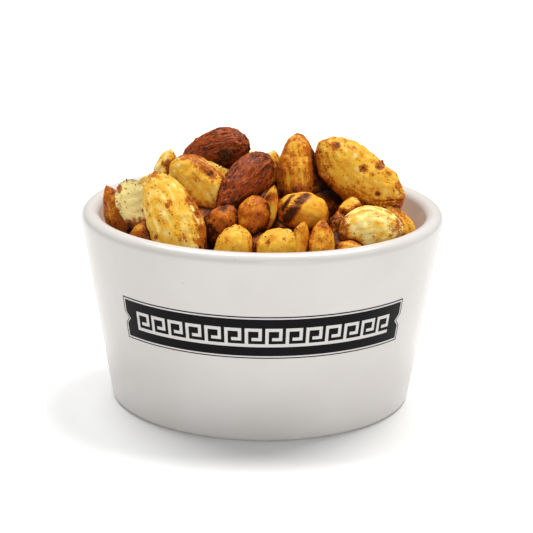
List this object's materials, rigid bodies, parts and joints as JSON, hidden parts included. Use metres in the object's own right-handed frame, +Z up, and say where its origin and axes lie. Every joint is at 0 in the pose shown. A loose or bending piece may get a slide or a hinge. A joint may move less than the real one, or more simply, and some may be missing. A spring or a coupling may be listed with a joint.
{
  "type": "ramekin of spiced nuts",
  "caption": "Straight-walled white glazed ramekin filled above its rim with a loose heap of roasted spiced almonds, cashews and small nuts.",
  "frame": {"origin": "on the surface the ramekin stands on, under the middle of its foot", "axes": "+Z up through the ramekin's axis, -Y towards the side that the picture shows, +X to the right of that view"},
  "size_m": [0.095, 0.095, 0.0709],
  "materials": {
    "glaze": "glossy warm white glaze",
    "nuts": "oiled, roasted and dusted with spice"
  },
  "bodies": {
    "root": {"ramekin": "glaze", "nut_heap": "nuts"}
  },
  "joints": []
}
